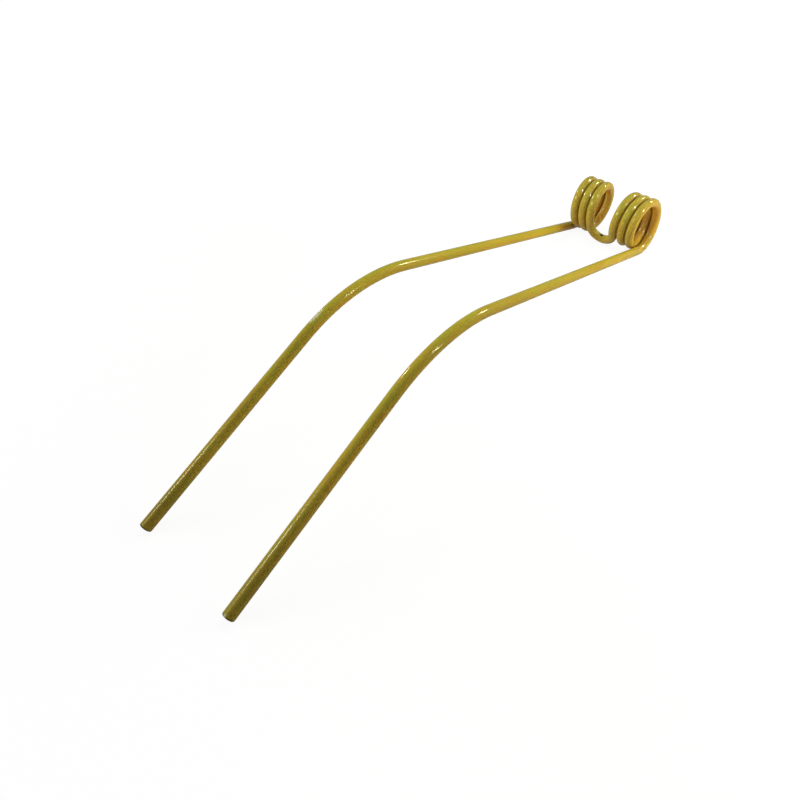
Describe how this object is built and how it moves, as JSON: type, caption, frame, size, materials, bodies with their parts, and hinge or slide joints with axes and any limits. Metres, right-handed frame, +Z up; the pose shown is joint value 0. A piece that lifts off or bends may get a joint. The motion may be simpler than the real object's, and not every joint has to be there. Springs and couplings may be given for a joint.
{
  "type": "rake tine",
  "caption": "Twin spring tine for a hay rake, bent from one round wire: coils side by side on a U-shaped bridge, with parallel arms that bend down near their ends.",
  "frame": {"origin": "on the ground, below the middle of the tine's length and midway between its arms, as the tine stands on its tips and coils", "axes": "+X from the coils towards the tips, +Y along the coils' axis towards the right arm, +Z up from the ground"},
  "size_m": [0.5852, 0.107, 0.1015],
  "materials": {
    "yellow_paint": "gloss"
  },
  "bodies": {
    "root": {"tine_wire": "yellow_paint"}
  },
  "joints": []
}
